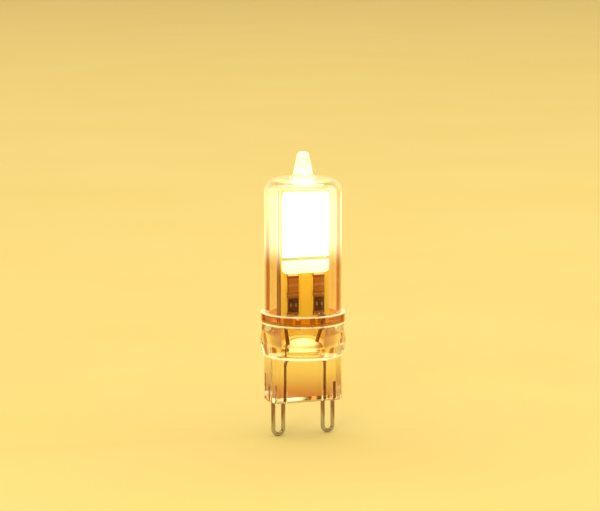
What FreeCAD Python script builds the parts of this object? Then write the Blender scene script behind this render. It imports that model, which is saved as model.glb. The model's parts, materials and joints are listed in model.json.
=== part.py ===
# LED capsule bulb: a glass envelope with a drawn tip on a clear plug base with two loop pins.
# Millimetres. Z runs up the bulb, X across the two pins, and the front faces -Y.
# The origin is on the axis, at the underside of the plug's blade, where the pins come out.
import FreeCAD, Part
import math
import os

from FreeCAD import Vector

# Glass envelope
glass_diameter = 13.2
glass_wall = 0.8
glass_length = 24.05
shoulder_radius = 2.4
crown_rise = 0.3
tip_height = 4.6
tip_root_diameter = 3.6
tip_end_diameter = 1.7
tip_root_fillet = 0.9
tip_end_round = 0.7
tip_hollow_diameter = 1.8
tip_hollow_height = 2.4

# Blade of the plug base
blade_width = 12.7
blade_thickness = 4.9
blade_height = 7.9
blade_corner_round = 0.7
blade_end_chamfer = 0.4

# Barrel and collar of the plug base
barrel_foot_diameter = 13.7
barrel_foot_round = 0.5
barrel_belly_diameter = 14.8
barrel_belly_round = 1.4
barrel_belly_height = 2.3
barrel_height = 5.7
collar_wall = 0.54
collar_height = 1.9
collar_step = 0.2
collar_edge_round = 0.15
glass_fit = 0.06
glass_seat_lift = 0.3
gate_pit_diameter = 0.7
gate_pit_depth = 0.3

# Well that the board stands in and the wires rise through
board_pocket_depth = 0.9
board_pocket_clearance = 0.1
board_ledge_reach = 0.1
well_depth = 4.6
well_draft_angle = 8.0
well_boss_diameter = 5.8
well_boss_height = 0.85
well_boss_crown = 0.2

# Sealing ring under the glass rim
seal_thickness = 0.25
seal_clearance = 0.04

# Loop pins
pin_wire_diameter = 0.7
pin_pitch = 9.0
pin_leg_spacing = 1.8
pin_length = 6.0
pin_anchor_height = 3.0
pin_fit = 0.02
pin_bend_radius = 1.2
pin_lean_height = 6.6
pin_waist_spacing = 5.3
pin_waist_rise = 0.3
pin_tail_rise = 1.9
pin_tail_spacing = 6.0
pin_tail_drop = 0.8

# Board stack
board_width = 8.6
board_thickness = 1.0
board_headroom = 0.8
board_corner_round = 0.4
thermal_pad_thickness = 0.4
thermal_pad_inset = 0.15

# Emitter field on each board
driver_zone_height = 9.3
emitter_side_margin = 0.2
emitter_top_margin = 0.3
dam_width = 0.6
dam_foot_width = 2.2
dam_height = 0.6
dam_edge_chamfer = 0.15
dam_corner_round = 0.8
phosphor_height = 0.45
phosphor_corner_round = 0.6
led_columns = 3
led_rows = 7
led_length = 0.7
led_width = 0.35
led_height = 0.15

# Chip resistors on the front board
resistor_length = 3.2
resistor_width = 1.8
resistor_height = 0.55
resistor_spacing = 4.6
resistor_gap = 0.2
resistor_lift = 2.3
end_cap_length = 0.4
end_cap_skin = 0.03
resistor_fillet = 0.35

# Driver chip and rectifier on the back board
chip_lift = 1.9
chip_width = 4.5
chip_length = 2.5
chip_height = 1.5
chip_edge_chamfer = 0.12
chip_lead_width = 0.45
chip_lead_length = 0.8
chip_lead_thickness = 0.35
chip_lead_pitch = 1.5
chip_tab_width = 1.7
chip_tab_length = 0.6
back_part_gap = 0.3
rectifier_width = 4.4
rectifier_length = 3.0
rectifier_height = 1.4
rectifier_standoff = 0.1
rectifier_lead_width = 0.6
rectifier_lead_pitch = 1.7
rectifier_lead_thickness = 0.2
rectifier_lead_reach = 0.55
rectifier_lead_foot = 0.7

# Strip links between the boards, and solder
link_width = 0.7
link_thickness = 0.2
link_spacing = 2.6
link_rise = 1.2
link_drop = 0.5
link_fillet = 0.2
solder_film = 0.02
solder_climb = 0.8
pin_solder_diameter = 1.4

# Heights and half sizes that follow from the values above
barrel_foot_z = blade_height
belly_z = barrel_foot_z + barrel_belly_height
collar_z = barrel_foot_z + barrel_height
collar_top_z = collar_z + collar_height
seat_z = collar_z + glass_seat_lift
ledge_z = seat_z - board_pocket_depth
well_floor_z = ledge_z - well_depth
well_boss_top_z = well_floor_z + well_boss_height + well_boss_crown
glass_rim_z = seat_z + seal_thickness
shoulder_z = glass_rim_z + glass_length
board_bottom_z = ledge_z
board_top_z = shoulder_z - glass_wall - board_headroom
glass_radius = glass_diameter / 2
glass_bore_radius = glass_radius - glass_wall
collar_bore_radius = glass_radius + glass_fit
collar_radius = collar_bore_radius + collar_wall
stack_half = thermal_pad_thickness / 2 + board_thickness
board_corner_radius = math.hypot(board_width / 2, stack_half)
board_pocket_radius = board_corner_radius + board_pocket_clearance
well_top_radius = board_corner_radius - board_ledge_reach
well_floor_radius = well_top_radius - well_depth * math.tan(math.radians(well_draft_angle))
emitter_bottom_z = board_bottom_z + driver_zone_height
emitter_top_z = board_top_z - emitter_top_margin
dam_outer_width = board_width - 2 * emitter_side_margin
phosphor_bottom_z = emitter_bottom_z + dam_foot_width
phosphor_top_z = emitter_top_z - dam_width
phosphor_width = dam_outer_width - 2 * dam_width

UP = Vector(0, 0, 1)
FRONT = Vector(0, -1, 0)
CENTRE = Vector(0, 0, 0)
SAME_PLACE = 1e-6


def straight(start, end):
    """A straight edge, or nothing where the two points meet."""
    if start.isEqual(end, SAME_PLACE):
        return []
    return [Part.LineSegment(start, end).toShape()]


def rounded_edges(corners):
    """Straight runs through (point, radius) corners, with a tangent arc at each corner inside the run."""
    edges = []
    last = corners[0][0]
    for (before, _), (corner, radius), (after, _) in zip(corners, corners[1:], corners[2:]):
        if radius == 0:
            edges += straight(last, corner)
            last = corner
            continue
        back = (before - corner).normalize()
        ahead = (after - corner).normalize()
        half_turn = back.getAngle(ahead) / 2
        reach = radius / math.tan(half_turn)
        start = corner + back * reach
        end = corner + ahead * reach
        inward = (back + ahead).normalize()
        middle = corner + inward * (radius / math.sin(half_turn) - radius)
        edges += straight(last, start)
        edges.append(Part.Arc(start, middle, end).toShape())
        last = end
    return edges + straight(last, corners[-1][0])


def turned(edges):
    """The solid that a closed profile in the XZ plane sweeps out round the bulb's axis."""
    return Part.Face(Part.Wire(edges)).revolve(CENTRE, UP, 360)


def at(radius, height, corner_round=0):
    """A profile corner at this distance from the axis and this height."""
    return Vector(radius, 0, height), corner_round


def bent_wire(corners, wire_diameter):
    """Round wire that follows straight runs and tangent bends."""
    path = Part.Wire(rounded_edges(corners))
    start = corners[0][0]
    heading = corners[1][0] - start
    section = Part.Wire(Part.Circle(start, heading, wire_diameter / 2).toShape())
    return path.makePipeShell([section], True, False)


def to_back(shape):
    """The same piece on the back board."""
    return shape.mirror(CENTRE, FRONT)


def to_left(shape):
    """The same piece on the other side of the bulb."""
    return shape.mirror(CENTRE, Vector(1, 0, 0))


def half_turned(shape):
    """The same piece turned half round the bulb's axis."""
    turned_piece = shape.copy()
    turned_piece.rotate(CENTRE, UP, 180)
    return turned_piece


def front_block(centre_x, bottom_z, width, length, height, lift=0.0):
    """A block on the front board's face: width along X, length along Z, height off the board."""
    corner = Vector(centre_x - width / 2, -stack_half - lift - height, bottom_z)
    return Part.makeBox(width, height, length, corner)


def edges_along(shape, direction):
    """The straight edges of a shape that run along a direction."""
    found = []
    for edge in shape.Edges:
        run = edge.lastVertex().Point - edge.firstVertex().Point
        if run.Length > 0 and run.cross(direction).Length < SAME_PLACE:
            found.append(edge)
    return found


def lower_edges(shape):
    """The edges round the underside of a shape."""
    return [edge for edge in shape.Edges if edge.BoundBox.ZMax < shape.BoundBox.ZMin + SAME_PLACE]


def crest_edges(shape):
    """The edges round the front face of a piece on the front board."""
    return [edge for edge in shape.Edges if edge.BoundBox.YMax < shape.BoundBox.YMin + SAME_PLACE]


def glass_envelope():
    """Tube with a round shoulder and a drawn tip whose hollow narrows to a point."""
    bore_top_z = shoulder_z - glass_wall
    outside = rounded_edges([
        at(glass_bore_radius, glass_rim_z),
        at(glass_radius, glass_rim_z),
        at(glass_radius, shoulder_z, shoulder_radius),
        at(tip_root_diameter / 2, shoulder_z + crown_rise, tip_root_fillet),
        at(tip_end_diameter / 2, shoulder_z + tip_height, tip_end_round),
        at(0, shoulder_z + tip_height),
    ])
    inside = rounded_edges([
        at(0, shoulder_z + tip_height),
        at(0, bore_top_z + tip_hollow_height),
        at(tip_hollow_diameter / 2, bore_top_z + crown_rise, tip_root_fillet),
        at(glass_bore_radius, bore_top_z, shoulder_radius - glass_wall),
        at(glass_bore_radius, glass_rim_z),
    ])
    return turned(outside + inside)


def well_boss():
    """Profile of the crowned boss on the well's floor, from its foot to the axis."""
    boss_radius = well_boss_diameter / 2
    foot = Vector(boss_radius, 0, well_floor_z)
    rim = Vector(boss_radius, 0, well_floor_z + well_boss_height)
    top = Vector(0, 0, well_boss_top_z)
    crown_radius = (boss_radius ** 2 + well_boss_crown ** 2) / (2 * well_boss_crown)
    half_spread = math.asin(boss_radius / crown_radius) / 2
    ball_z = well_boss_top_z - crown_radius
    middle = Vector(crown_radius * math.sin(half_spread), 0, ball_z + crown_radius * math.cos(half_spread))
    return straight(foot, rim) + [Part.Arc(rim, middle, top).toShape()]


def gate_pit():
    """Small pit at the side of the barrel's belly, where the moulding was broken off its runner."""
    belly = Vector(-barrel_belly_diameter / 2, 0, belly_z)
    return Part.makeCylinder(gate_pit_diameter / 2, gate_pit_depth, belly, Vector(1, 0, 0))


def plug_base():
    """One moulding: a collar for the glass, a bellied barrel with a well, and a blade with the pin bores."""
    wall = rounded_edges([
        at(0, barrel_foot_z),
        at(barrel_foot_diameter / 2, barrel_foot_z, barrel_foot_round),
        at(barrel_belly_diameter / 2, belly_z, barrel_belly_round),
        at(collar_radius - collar_step, collar_z),
        at(collar_radius, collar_z),
        at(collar_radius, collar_top_z, collar_edge_round),
        at(collar_bore_radius, collar_top_z),
        at(collar_bore_radius, seat_z),
        at(board_pocket_radius, seat_z),
        at(board_pocket_radius, ledge_z),
        at(well_top_radius, ledge_z),
        at(well_floor_radius, well_floor_z),
        at(well_boss_diameter / 2, well_floor_z),
    ])
    core = straight(Vector(0, 0, well_boss_top_z), Vector(0, 0, barrel_foot_z))
    barrel = turned(wall + well_boss() + core)
    blade_corner = Vector(-blade_width / 2, -blade_thickness / 2, 0)
    blade = Part.makeBox(blade_width, blade_thickness, blade_height, blade_corner)
    blade = blade.makeFillet(blade_corner_round, edges_along(blade, UP))
    blade = blade.makeChamfer(blade_end_chamfer, lower_edges(blade))
    pin_bore = loop_pin(pin_wire_diameter + 2 * pin_fit)
    return barrel.fuse(blade).removeSplitter().cut([pin_bore, half_turned(pin_bore), gate_pit()])


def sealing_ring():
    """Clear bedding ring between the collar's seat and the glass rim."""
    outer = collar_bore_radius - seal_clearance
    ring = Part.makeCylinder(outer, seal_thickness, Vector(0, 0, seat_z))
    return ring.cut(Part.makeCylinder(glass_bore_radius, seal_thickness, Vector(0, 0, seat_z)))


def loop_pin(wire_diameter):
    """The right pin: a leg anchored in the blade, the loop, and a leg through the well to the front board."""
    inner_x = (pin_pitch - pin_leg_spacing) / 2
    outer_x = (pin_pitch + pin_leg_spacing) / 2
    loop_z = pin_wire_diameter / 2 - pin_length
    tail_x = pin_tail_spacing / 2
    tail_y = -stack_half - solder_film - pin_wire_diameter / 2
    return bent_wire([
        (Vector(outer_x, 0, pin_anchor_height), 0),
        (Vector(outer_x, 0, loop_z), pin_leg_spacing / 2),
        (Vector(inner_x, 0, loop_z), pin_leg_spacing / 2),
        (Vector(inner_x, 0, pin_lean_height), pin_bend_radius),
        (Vector(pin_waist_spacing / 2, 0, well_floor_z + pin_waist_rise), pin_bend_radius),
        (Vector(tail_x, tail_y, board_bottom_z - pin_tail_drop), pin_bend_radius),
        (Vector(tail_x, tail_y, board_bottom_z + pin_tail_rise), 0),
    ], wire_diameter)


def front_board():
    """Circuit board with square lower corners on the well's ledge and rounded upper ones."""
    corner = Vector(-board_width / 2, -stack_half, board_bottom_z)
    board = Part.makeBox(board_width, board_thickness, board_top_z - board_bottom_z, corner)
    upper_corners = [edge for edge in edges_along(board, FRONT) if edge.CenterOfMass.z > emitter_top_z]
    return board.makeFillet(board_corner_round, upper_corners)


def thermal_pad():
    """Soft pad between the two boards, a little smaller than they are."""
    width = board_width - 2 * thermal_pad_inset
    length = board_top_z - board_bottom_z - 2 * thermal_pad_inset
    corner = Vector(-width / 2, -thermal_pad_thickness / 2, board_bottom_z + thermal_pad_inset)
    return Part.makeBox(width, thermal_pad_thickness, length, corner)


def emitter_slab(bottom_z, top_z, width, height, corner_round):
    """A slab with round corners on the front board."""
    slab = front_block(0, bottom_z, width, top_z - bottom_z, height)
    return slab.makeFillet(corner_round, edges_along(slab, FRONT))


def phosphor_slab(height):
    """The field inside the dam, up to this height."""
    return emitter_slab(phosphor_bottom_z, phosphor_top_z, phosphor_width, height, phosphor_corner_round)


def dam():
    """Frame of white silicone that holds the phosphor in, with a broad foot below it."""
    frame = emitter_slab(emitter_bottom_z, emitter_top_z, dam_outer_width, dam_height, dam_corner_round)
    frame = frame.makeChamfer(dam_edge_chamfer, crest_edges(frame))
    return frame.cut(phosphor_slab(dam_height))


def led_chips():
    """Even pattern of light-emitting dies over the phosphor's field."""
    column_pitch = phosphor_width / led_columns
    row_pitch = (phosphor_top_z - phosphor_bottom_z) / led_rows
    first_x = -column_pitch * (led_columns - 1) / 2
    first_z = phosphor_bottom_z + row_pitch / 2 - led_length / 2
    chips = []
    for column in range(led_columns):
        for row in range(led_rows):
            x = first_x + column * column_pitch
            z = first_z + row * row_pitch
            chips.append(front_block(x, z, led_width, led_length, led_height))
    return Part.makeCompound(chips)


def phosphor():
    """Phosphor fill inside the dam, poured over the dies."""
    return phosphor_slab(phosphor_height).cut(led_chips())


def resistor_bottom(row):
    """Height of a resistor's lower end: row 0 is the lower one."""
    return board_bottom_z + resistor_lift + row * (resistor_length + resistor_gap)


def resistor(side, row):
    """Body of one chip resistor, between its end caps."""
    x = side * resistor_spacing / 2
    length = resistor_length - 2 * end_cap_length
    return front_block(x, resistor_bottom(row) + end_cap_length, resistor_width, length, resistor_height)


def resistor_end_caps():
    """Tinned caps on both ends of the four resistors."""
    width = resistor_width + 2 * end_cap_skin
    height = resistor_height + end_cap_skin
    caps = []
    for side in (-1, 1):
        for row in (0, 1):
            low = resistor_bottom(row)
            high = low + resistor_length - end_cap_length
            for z in (low, high):
                caps.append(front_block(side * resistor_spacing / 2, z, width, end_cap_length, height))
    return Part.makeCompound(caps)


def solder_wedge(x, end_z, away, width, leg):
    """Solder that runs from a piece's end face down to the front board."""
    face = -stack_half
    corners = [
        Vector(x - width / 2, face, end_z),
        Vector(x - width / 2, face, end_z + away * leg),
        Vector(x - width / 2, face - leg, end_z),
    ]
    side_face = Part.Face(Part.makePolygon(corners + corners[:1]))
    return side_face.extrude(Vector(width, 0, 0))


def resistor_solder():
    """A wedge at the outer end of each column of resistors, and a bridge between the two."""
    joints = []
    for side in (-1, 1):
        x = side * resistor_spacing / 2
        column_top = resistor_bottom(1) + resistor_length
        joints.append(solder_wedge(x, resistor_bottom(0), -1, resistor_width, resistor_fillet))
        joints.append(solder_wedge(x, column_top, 1, resistor_width, resistor_fillet))
        bridge_z = resistor_bottom(1) - resistor_gap
        joints.append(front_block(x, bridge_z, resistor_width, resistor_gap, resistor_fillet))
    return Part.makeCompound(joints)


def driver_chip():
    """Moulded package of the current regulator, on the back board."""
    bottom_z = board_bottom_z + chip_lift + chip_lead_length
    body = front_block(0, bottom_z, chip_width, chip_length, chip_height)
    return to_back(body.makeChamfer(chip_edge_chamfer, crest_edges(body)))


def driver_leads():
    """Three flat leads below the driver chip and its wide tab above."""
    lead_z = board_bottom_z + chip_lift
    strips = []
    for step in (-1, 0, 1):
        x = step * chip_lead_pitch
        strips.append(front_block(x, lead_z, chip_lead_width, chip_lead_length, chip_lead_thickness))
    tab_z = lead_z + chip_lead_length + chip_length
    strips.append(front_block(0, tab_z, chip_tab_width, chip_tab_length, chip_lead_thickness))
    return to_back(Part.makeCompound(strips))


def rectifier_bottom():
    """Height of the rectifier's lower end, above the driver chip and its tab."""
    chip_stack = chip_lead_length + chip_length + chip_tab_length
    return board_bottom_z + chip_lift + chip_stack + back_part_gap


def bridge_rectifier():
    """Moulded package of the rectifier, on the back board."""
    body = front_block(0, rectifier_bottom(), rectifier_width, rectifier_length, rectifier_height,
                       rectifier_standoff)
    return to_back(body.makeChamfer(chip_edge_chamfer, crest_edges(body)))


def rectifier_lead(centre_z):
    """One bent lead on the right: out of the body's middle, down to the board and along it."""
    root_x = rectifier_width / 2
    knee_x = root_x + rectifier_lead_reach
    toe_x = knee_x + rectifier_lead_foot
    thick = rectifier_lead_thickness
    root_height = rectifier_standoff + rectifier_height / 2
    outline = [
        (root_x, root_height - thick / 2),
        (root_x, root_height + thick / 2),
        (knee_x, root_height + thick / 2),
        (knee_x + thick, thick),
        (toe_x, thick),
        (toe_x, 0),
        (knee_x, 0),
        (knee_x - thick, root_height - thick / 2),
    ]
    low_z = centre_z - rectifier_lead_width / 2
    points = [Vector(x, -stack_half - height, low_z) for x, height in outline]
    strip = Part.Face(Part.makePolygon(points + points[:1]))
    return strip.extrude(Vector(0, 0, rectifier_lead_width))


def rectifier_leads():
    """Two bent leads on each side of the rectifier."""
    middle_z = rectifier_bottom() + rectifier_length / 2
    leads = []
    for step in (-1, 1):
        lead = rectifier_lead(middle_z + step * rectifier_lead_pitch / 2)
        leads.append(lead)
        leads.append(to_left(lead))
    return to_back(Part.makeCompound(leads))


def board_link(x):
    """Folded strip round the boards' lower edge, from the front face to the back face."""
    inner_y = stack_half
    outer_y = stack_half + link_thickness
    top_z = board_bottom_z + link_rise
    fold_z = board_bottom_z - link_drop
    outline = [
        (-outer_y, top_z),
        (-outer_y, fold_z - link_thickness),
        (outer_y, fold_z - link_thickness),
        (outer_y, top_z),
        (inner_y, top_z),
        (inner_y, fold_z),
        (-inner_y, fold_z),
        (-inner_y, top_z),
    ]
    points = [Vector(x - link_width / 2, y, z) for y, z in outline]
    strip = Part.Face(Part.makePolygon(points + points[:1]))
    return strip.extrude(Vector(link_width, 0, 0))


def board_links():
    """The two strips that join the boards' circuits."""
    return Part.makeCompound([board_link(side * link_spacing / 2) for side in (-1, 1)])


def pin_joint():
    """Cone of solder round the right pin's tail, on the front board."""
    height = solder_film + pin_wire_diameter * solder_climb
    middle_z = board_bottom_z + pin_tail_rise - pin_solder_diameter / 2
    foot = Vector(pin_tail_spacing / 2, -stack_half, middle_z)
    cone = Part.makeCone(pin_solder_diameter / 2, pin_wire_diameter / 2, height, foot, FRONT)
    return cone.cut(loop_pin(pin_wire_diameter))


def solder_joints():
    """Joints of the two pins, and a wedge at each end of the strip links."""
    joints = [pin_joint(), half_turned(pin_joint())]
    for side in (-1, 1):
        x = side * link_spacing / 2
        wedge = solder_wedge(x, board_bottom_z + link_rise, 1, link_width, link_fillet)
        joints.append(wedge)
        joints.append(to_back(wedge))
    return Part.makeCompound(joints)


nodes = {
    "glass_envelope": glass_envelope(),
    "plug_base": plug_base(),
    "sealing_ring": sealing_ring(),
    "right_loop_pin": loop_pin(pin_wire_diameter),
    "left_loop_pin": half_turned(loop_pin(pin_wire_diameter)),
    "front_board": front_board(),
    "back_board": to_back(front_board()),
    "thermal_pad": thermal_pad(),
    "front_dam": dam(),
    "back_dam": to_back(dam()),
    "front_phosphor": phosphor(),
    "back_phosphor": to_back(phosphor()),
    "front_led_chips": led_chips(),
    "back_led_chips": to_back(led_chips()),
    "resistor_lower_left": resistor(-1, 0),
    "resistor_lower_right": resistor(1, 0),
    "resistor_upper_left": resistor(-1, 1),
    "resistor_upper_right": resistor(1, 1),
    "resistor_end_caps": resistor_end_caps(),
    "resistor_solder": resistor_solder(),
    "driver_chip": driver_chip(),
    "driver_leads": driver_leads(),
    "bridge_rectifier": bridge_rectifier(),
    "rectifier_leads": rectifier_leads(),
    "board_links": board_links(),
    "solder_joints": solder_joints(),
}

os.makedirs("parts", exist_ok=True)
for name, shape in nodes.items():
    shape.exportStep(f"parts/{name}.step")
    print(f"{name}: {len(shape.Solids)} solid(s), {shape.Volume:.2f} mm3, valid {shape.isValid()}")
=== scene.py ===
# %% [markdown]
# # A lit LED capsule bulb
# The bulb is a clear glass tube, drawn off to a tip, over two small circuit boards that stand back to
# back. A clear moulded plug holds the glass, the boards and two wire loop pins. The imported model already
# has every piece at its real size, so this lesson is about what light does to them: glass, clear plastic,
# yellowed solder mask, tin, solder and a phosphor that glows.

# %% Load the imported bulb
import json
import math

import bpy
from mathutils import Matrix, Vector


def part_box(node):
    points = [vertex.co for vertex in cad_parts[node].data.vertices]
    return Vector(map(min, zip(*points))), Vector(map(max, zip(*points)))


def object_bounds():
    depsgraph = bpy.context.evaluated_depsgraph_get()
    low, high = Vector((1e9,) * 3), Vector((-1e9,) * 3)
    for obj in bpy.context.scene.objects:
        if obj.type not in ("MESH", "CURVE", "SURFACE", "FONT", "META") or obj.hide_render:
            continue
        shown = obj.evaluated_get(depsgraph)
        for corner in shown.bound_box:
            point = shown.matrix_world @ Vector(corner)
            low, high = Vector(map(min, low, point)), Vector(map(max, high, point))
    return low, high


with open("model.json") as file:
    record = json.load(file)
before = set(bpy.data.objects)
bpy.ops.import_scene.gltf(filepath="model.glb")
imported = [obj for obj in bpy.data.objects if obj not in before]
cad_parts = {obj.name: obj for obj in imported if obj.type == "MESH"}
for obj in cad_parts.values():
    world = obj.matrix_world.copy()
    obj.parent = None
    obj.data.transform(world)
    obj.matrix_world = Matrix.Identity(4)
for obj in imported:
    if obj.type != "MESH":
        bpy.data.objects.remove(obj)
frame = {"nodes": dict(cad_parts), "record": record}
cad_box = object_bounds()
MM = 0.001
print("nodes loaded:", len(frame["nodes"]))

# %% [markdown]
# Finishes that change along the bulb need to know where its pieces are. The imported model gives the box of
# each node. The plug and the glass are one piece each, so the heights of their parts are measured from the
# nearest box.

# %% Places on the bulb
def corners(name):
    """The lowest and the highest corner of a node."""
    return [Vector(corner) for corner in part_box(name)]


def middle_and_size(name):
    """The middle of a node's box and the box's size."""
    low, high = corners(name)
    return (low + high) / 2, high - low


collar_height = 1.9 * MM
barrel_height = 5.7 * MM
well_depth = 4.6 * MM
shoulder_to_tip = 4.6 * MM
board_low, board_high = corners("front_board")
dam_low, dam_high = corners("front_dam")
collar_top = corners("plug_base")[1].z
collar_foot = collar_top - collar_height
barrel_foot = collar_foot - barrel_height
well_floor = board_low.z - well_depth
shoulder_z = corners("glass_envelope")[1].z - shoulder_to_tip
print("collar from", round(collar_foot / MM, 2), "to", round(collar_top / MM, 2), "mm")

# %% [markdown]
# Colours are written as sRGB hex values, the way a paint chart or a picture editor gives them. A shader
# works in linear light, so one function turns a hex value into linear red, green and blue.

# %% Colour from a hex value
def linear(hex_code):
    """Linear colour with full alpha from a value such as F4F1E8."""
    channels = []
    for start in (0, 2, 4):
        value = int(hex_code[start:start + 2], 16) / 255
        channels.append(value / 12.92 if value <= 0.04045 else ((value + 0.055) / 1.055) ** 2.4)
    return (*channels, 1.0)


# F6D85E is the solder mask's painted amber light: the mask itself is white.
print("yellowed solder mask in linear light:", [round(part, 3) for part in linear("F6D85E")])

# %% [markdown]
# Every material is a small graph of nodes. One helper adds a node, sets its properties and fills its
# sockets: a plain value is stored on the socket, and the output of another node is linked to it. Sockets
# are picked by name, or by number where a node has several with one name.

# %% One helper that adds a node
def add(tree, kind, sockets=None, **settings):
    """Add a node to a tree, with its settings, socket values and links."""
    node = tree.nodes.new(kind)
    for name, value in settings.items():
        setattr(node, name, value)
    for key, value in (sockets or {}).items():
        if isinstance(value, bpy.types.NodeSocket):
            tree.links.new(value, node.inputs[key])
        else:
            node.inputs[key].default_value = value
    return node


def new_material(name):
    """A material with an empty tree, and the place of a surface point on the bulb in metres."""
    material = bpy.data.materials.new(name)
    material.use_nodes = True
    material.node_tree.nodes.clear()
    place = add(material.node_tree, "ShaderNodeTexCoord").outputs["Object"]
    return material, material.node_tree, place


def show(tree, shader):
    """Send a shader to the material's surface."""
    add(tree, "ShaderNodeOutputMaterial", {"Surface": shader.outputs["BSDF"]})


print("helpers made:", add.__name__, new_material.__name__, show.__name__)

# %% [markdown]
# The envelope is blown from drawn soda-lime tube. Drawing leaves faint lengthwise ripples, far too shallow
# to see as shape but enough to bend a highlight. A noise that is stretched along the tube gives them
# through a very weak bump. The glass has a trace of haze, and a painted glow on it stands for the light
# of the emitter that the haze scatters close behind it. A brighter painted glow at the tip stands for the
# light that runs up inside the wall and leaves there. Below the emitter a straw tint stands for the amber
# light that the lit boards throw on the wall. The eye gets a clear body, sharp highlights, dark wall lines
# and a bright tip.

# %% Drawn soda-lime glass
# Colour of a painted glow, the height where it starts and the height where it is full: wall, shoulder and
# tip.
painted_glass_glows = [
    ("6C6E56", dam_low.z + 1.0 * MM, dam_low.z + 5.5 * MM),
    ("4E4818", board_high.z - 2.0 * MM, shoulder_z - 0.5 * MM),
    ("B0A488", shoulder_z, shoulder_z + 1.5 * MM),
]


def drawn_glass():
    """Clear glass with the faint lengthwise ripple of drawn tube, and a painted glow that changes with
    height.
    """
    material, tree, place = new_material("drawn_soda_lime_glass")
    ripple_width = 1.6 * MM
    along_tube = add(tree, "ShaderNodeMapping", {"Vector": place, "Scale": (1, 1, 0.12)})
    ripple = add(tree, "ShaderNodeTexNoise", {
        "Vector": along_tube.outputs["Vector"], "Scale": 1 / ripple_width, "Detail": 1.0})
    bump = add(tree, "ShaderNodeBump", {
        "Height": ripple.outputs["Fac"], "Strength": 0.04, "Distance": 0.05 * MM})
    haze = add(tree, "ShaderNodeMapRange", {
        "Value": ripple.outputs["Fac"], "To Min": 0.0, "To Max": 0.01})
    height = add(tree, "ShaderNodeSeparateXYZ", {"Vector": place}).outputs["Z"]
    rises = []
    glow = linear("000000")
    for colour, start, full in painted_glass_glows:
        rise = add(tree, "ShaderNodeMapRange", {
            "Value": height, "From Min": start, "From Max": full}, interpolation_type="SMOOTHSTEP")
        rises.append(rise.outputs["Result"])
        glow = add(tree, "ShaderNodeMix", {
            0: rises[-1], 6: glow, 7: linear(colour)}, data_type="RGBA").outputs[2]
    clear = add(tree, "ShaderNodeMix", {
        0: ripple.outputs["Fac"], 6: linear("FFFFFF"), 7: linear("F8FBF9")}, data_type="RGBA")
    tint = add(tree, "ShaderNodeMix", {
        0: rises[0], 6: linear("FCE8C6"), 7: clear.outputs[2]}, data_type="RGBA")
    shader = add(tree, "ShaderNodeBsdfPrincipled", {
        "Base Color": tint.outputs[2], "Roughness": haze.outputs["Result"], "IOR": 1.52,
        "Transmission Weight": 1.0, "Normal": bump.outputs["Normal"],
        "Emission Color": glow, "Emission Strength": 1.0})
    show(tree, shader)
    return material


glass = drawn_glass()
print("made", glass.name)

# %% [markdown]
# The plug is injection moulded in clear polycarbonate. Its refractive index is higher than that of glass,
# so it bends what is behind it more strongly. The mould leaves soft flow marks, and the resin has yellowed
# in the heat, most of all in the thin collar. Where the mould was not polished, at the rims of the collar,
# at the barrel's foot and on the boss in the well, the surface is frosted, and a painted glow there stands
# for light of the emitter that runs down inside the plastic. Ranges of height and radius find those places.

# %% Zones of the plug
outwards = (1, 1, 0)


def stretched_length(tree, vector, weights):
    """How long a vector is when its x, y and z weigh this much."""
    weighed = add(tree, "ShaderNodeVectorMath", {0: vector, 1: weights}, operation="MULTIPLY")
    return add(tree, "ShaderNodeVectorMath", {0: weighed.outputs[0]}, operation="LENGTH").outputs["Value"]


def field_amount(tree, first, second, fields):
    """The largest amount among the fields that two values lie in. A field is two ranges and an amount."""
    largest = 0.0
    for first_range, second_range, amount in fields:
        for value, (low, high) in ((first, first_range), (second, second_range)):
            within = add(tree, "ShaderNodeMath", {
                0: value, 1: (low + high) / 2, 2: (high - low) / 2}, operation="COMPARE")
            amount = add(tree, "ShaderNodeMath", {
                0: amount, 1: within.outputs[0]}, operation="MULTIPLY").outputs[0]
        largest = add(tree, "ShaderNodeMath", {0: largest, 1: amount}, operation="MAXIMUM").outputs[0]
    return largest


def zone_amount(tree, place, zones):
    """How strongly a point is in any of these zones: a range of height, one of radius and an amount."""
    height = add(tree, "ShaderNodeSeparateXYZ", {"Vector": place}).outputs["Z"]
    return field_amount(tree, height, stretched_length(tree, place, outwards), zones)


hair = 0.02 * MM
top_rim = 0.2 * MM
foot_rim = 0.25 * MM
# The frosted rims and the boss also carry a painted glow, for light of the emitter that leaves the plastic
# there.
frosted_rims_and_painted_glow = [
    ((collar_top - top_rim, collar_top + hair), (6.6 * MM, 7.4 * MM), 0.35),
    ((collar_foot + hair, collar_foot + foot_rim), (6.9 * MM, 7.4 * MM), 0.42),
    ((barrel_foot - hair, barrel_foot + 0.5 * MM), (6.0 * MM, 7.1 * MM), 0.45),
]
frosted_boss_and_painted_glow = ((well_floor + 0.84 * MM, well_floor + 1.4 * MM), (0.0, 2.92 * MM), 1.0)
yellowed_collar = ((collar_foot + foot_rim, collar_top - top_rim), (0.0, 8.0 * MM), 1.0)
print("frosted rims:", len(frosted_rims_and_painted_glow), "and one boss")

# %% [markdown]
# The boards stand right above the boss. They are broad along x and thin along y, so the field of painted
# light on it is long and narrow. The painted light that leaves the plastic is whitest in the middle and
# yellower further out, where it went through more of the resin.

# %% Painted light that leaves the plastic
lit_to = 2.1 * MM
yellow_from = 2.9 * MM
dark_from = 3.4 * MM


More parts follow.
